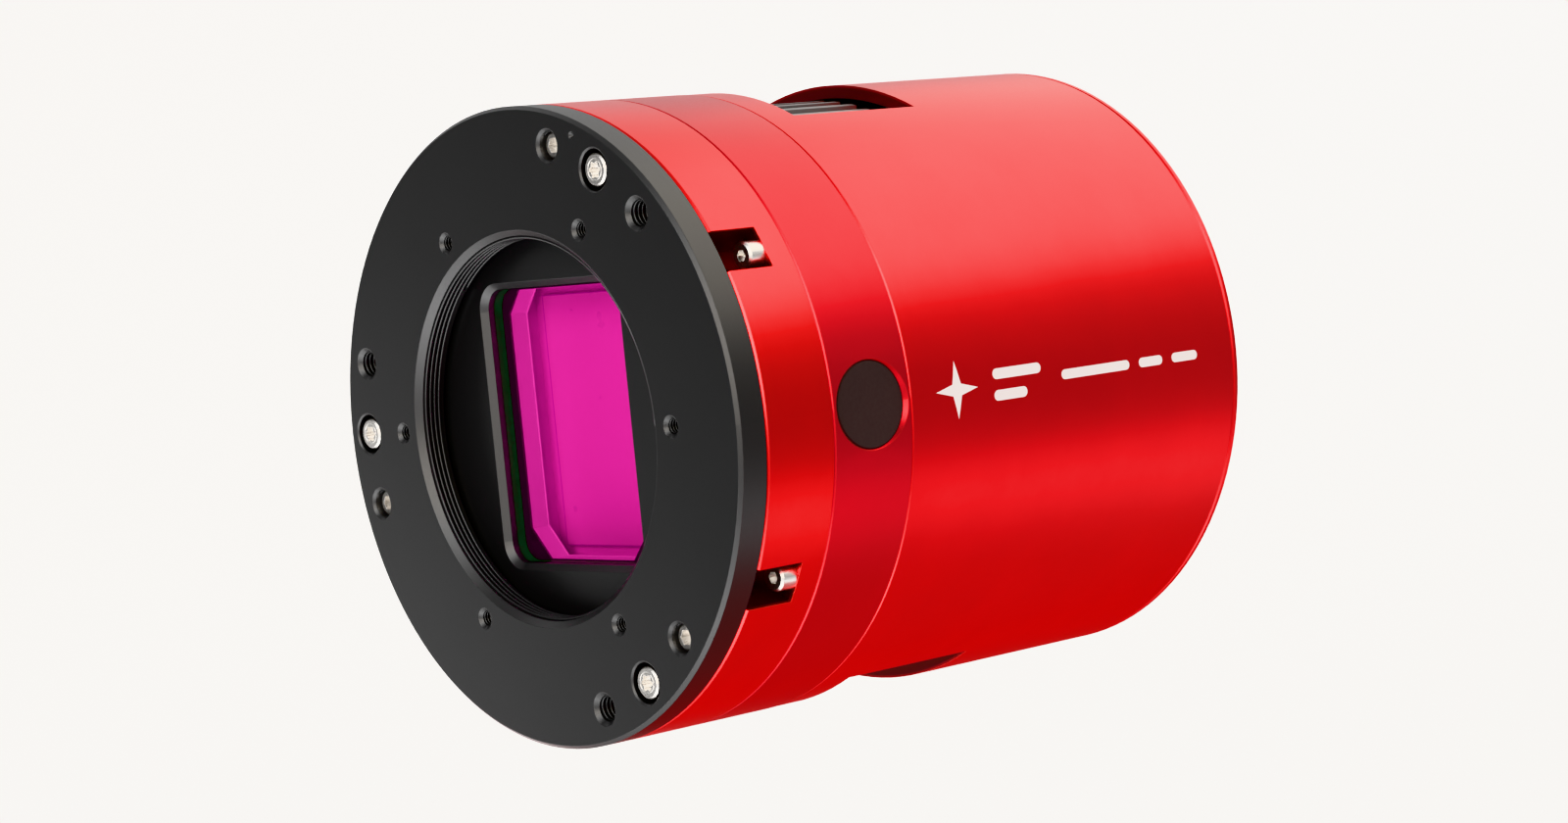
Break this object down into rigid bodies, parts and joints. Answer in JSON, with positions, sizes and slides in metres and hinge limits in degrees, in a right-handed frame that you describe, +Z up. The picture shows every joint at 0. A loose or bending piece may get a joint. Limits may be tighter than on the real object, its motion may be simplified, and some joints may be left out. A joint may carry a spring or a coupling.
{
  "type": "cooled astronomy camera",
  "caption": "Round cooled astronomy camera with a threaded black tilt plate, coated window and sensor, finned cooler, fan, side vents and rear sockets.",
  "frame": {"origin": "centre of the front thread, in the front face of the tilt plate", "axes": "-Y out of the front thread along the optical axis, +Y towards the rear sockets, +X towards the desiccant port, +Z up along the long side of the sensor"},
  "size_m": [0.09, 0.0977, 0.09],
  "materials": {
    "black_anodised": "fine satin black anodising",
    "red_anodised": "satin red anodising",
    "screw_steel": "bright stainless steel",
    "dark_steel": "black oxide steel",
    "coated_glass": "clear glass with an anti-reflection coating",
    "cover_glass": "thin clear glass",
    "sensor_silicon": "glossy magenta filter array on silicon",
    "ceramic": "fired ceramic",
    "cooler_alloy": "dull grey semiconductor alloy",
    "circuit_board": "dark solder mask",
    "chip_plastic": "moulded black",
    "brass_posts": "nickel and brass posts",
    "copper": "milled copper",
    "sink_aluminium": "milled grey anodised aluminium",
    "rubber": "black rubber",
    "plug_rubber": "matt black-brown cap",
    "foam": "closed-cell foam",
    "heater_film": "amber film",
    "clear_plastic": "pale moulded plastic",
    "tablet": "pressed white grains",
    "fan_plastic": "moulded black",
    "socket_metal": "tinned steel shell with a dark tongue",
    "socket_plastic": "moulded black"
  },
  "bodies": {
    "tilt_plate": {"tilt_plate": "black_anodised"},
    "push_screw_1": {"push_screw_1": "screw_steel"},
    "push_screw_2": {"push_screw_2": "screw_steel"},
    "push_screw_3": {"push_screw_3": "screw_steel"},
    "pull_screw_1": {"pull_screw_1": "screw_steel"},
    "pull_screw_3": {"pull_screw_3": "screw_steel"},
    "fan": {"fan_rotor": "fan_plastic"},
    "desiccant": {"desiccant_plug": "plug_rubber", "plug_seal": "rubber", "desiccant_cartridge": "clear_plastic", "desiccant_tablets": "tablet"},
    "camera": {"window_plate": "black_anodised", "window_mask": "black_anodised", "front_ring": "red_anodised", "chamber_housing": "red_anodised", "rear_shell": "red_anodised", "rear_cover": "red_anodised", "pull_screw_2": "screw_steel", "ring_screws": "screw_steel", "sensor_board_screws": "dark_steel", "heat_sink_screws": "dark_steel", "fan_screws": "dark_steel", "cover_screws": "dark_steel", "window_glass": "coated_glass", "sensor_cover_glass": "cover_glass", "sensor_die": "sensor_silicon", "sensor_package": "ceramic", "cooler_cold_plate": "ceramic", "cooler_middle_plate": "ceramic", "cooler_hot_plate": "ceramic", "cooler_pellets_cold": "cooler_alloy", "cooler_pellets_hot": "cooler_alloy", "sensor_board": "circuit_board", "main_board": "circuit_board", "board_chips": "chip_plastic", "ribbon_sockets": "chip_plastic", "sensor_posts": "brass_posts", "board_posts": "brass_posts", "board_spacers": "brass_posts", "cold_finger": "copper", "heat_sink": "sink_aluminium", "chamber_seal": "rubber", "heat_sink_seal": "rubber", "ribbon_seal": "rubber", "thermal_pad": "rubber", "insulation_foam": "foam", "window_heater": "heater_film", "sensor_ribbon": "heater_film", "fan_frame": "fan_plastic", "usb_b_socket": "socket_metal", "usb_a_sockets": "socket_metal", "power_socket": "socket_plastic"}
  },
  "joints": [
    {"name": "tilt", "type": "hinge", "parent": "tilt_plate", "child": "camera", "pos_m": [0, 0.00465, 0], "axis": [1, 0, 0], "range_deg": [-0.2, 0.2]},
    {"name": "fan_spin", "type": "hinge", "parent": "camera", "child": "fan", "pos_m": [0, 0.067, 0], "axis": [0, 1, 0], "continuous": true},
    {"name": "desiccant_pull", "type": "slide", "parent": "camera", "child": "desiccant", "axis": [1, 0, 0], "range_m": [0, 0.022]},
    {"name": "push_screw_1_travel", "type": "slide", "parent": "tilt_plate", "child": "push_screw_1", "axis": [0, -1, 0], "range_m": [-0.0001383, 0.0001383]},
    {"name": "push_screw_2_travel", "type": "slide", "parent": "tilt_plate", "child": "push_screw_2", "axis": [0, -1, 0], "range_m": [-0.000037, 0.000037]},
    {"name": "push_screw_3_travel", "type": "slide", "parent": "tilt_plate", "child": "push_screw_3", "axis": [0, -1, 0], "range_m": [-0.0001012, 0.0001012]},
    {"name": "pull_screw_1_travel", "type": "slide", "parent": "camera", "child": "pull_screw_1", "axis": [0, 1, 0], "range_m": [-0.000124, 0.000124]},
    {"name": "pull_screw_3_travel", "type": "slide", "parent": "camera", "child": "pull_screw_3", "axis": [0, 1, 0], "range_m": [-0.000124, 0.000124]}
  ],
  "couplings": [
    {"joint": "push_screw_1_travel", "follows": "tilt", "m_per_rad": 0.03883},
    {"joint": "push_screw_2_travel", "follows": "tilt", "m_per_rad": -0.010405},
    {"joint": "push_screw_3_travel", "follows": "tilt", "m_per_rad": -0.028426},
    {"joint": "pull_screw_1_travel", "follows": "tilt", "m_per_rad": 0.034814},
    {"joint": "pull_screw_3_travel", "follows": "tilt", "m_per_rad": -0.034814}
  ]
}
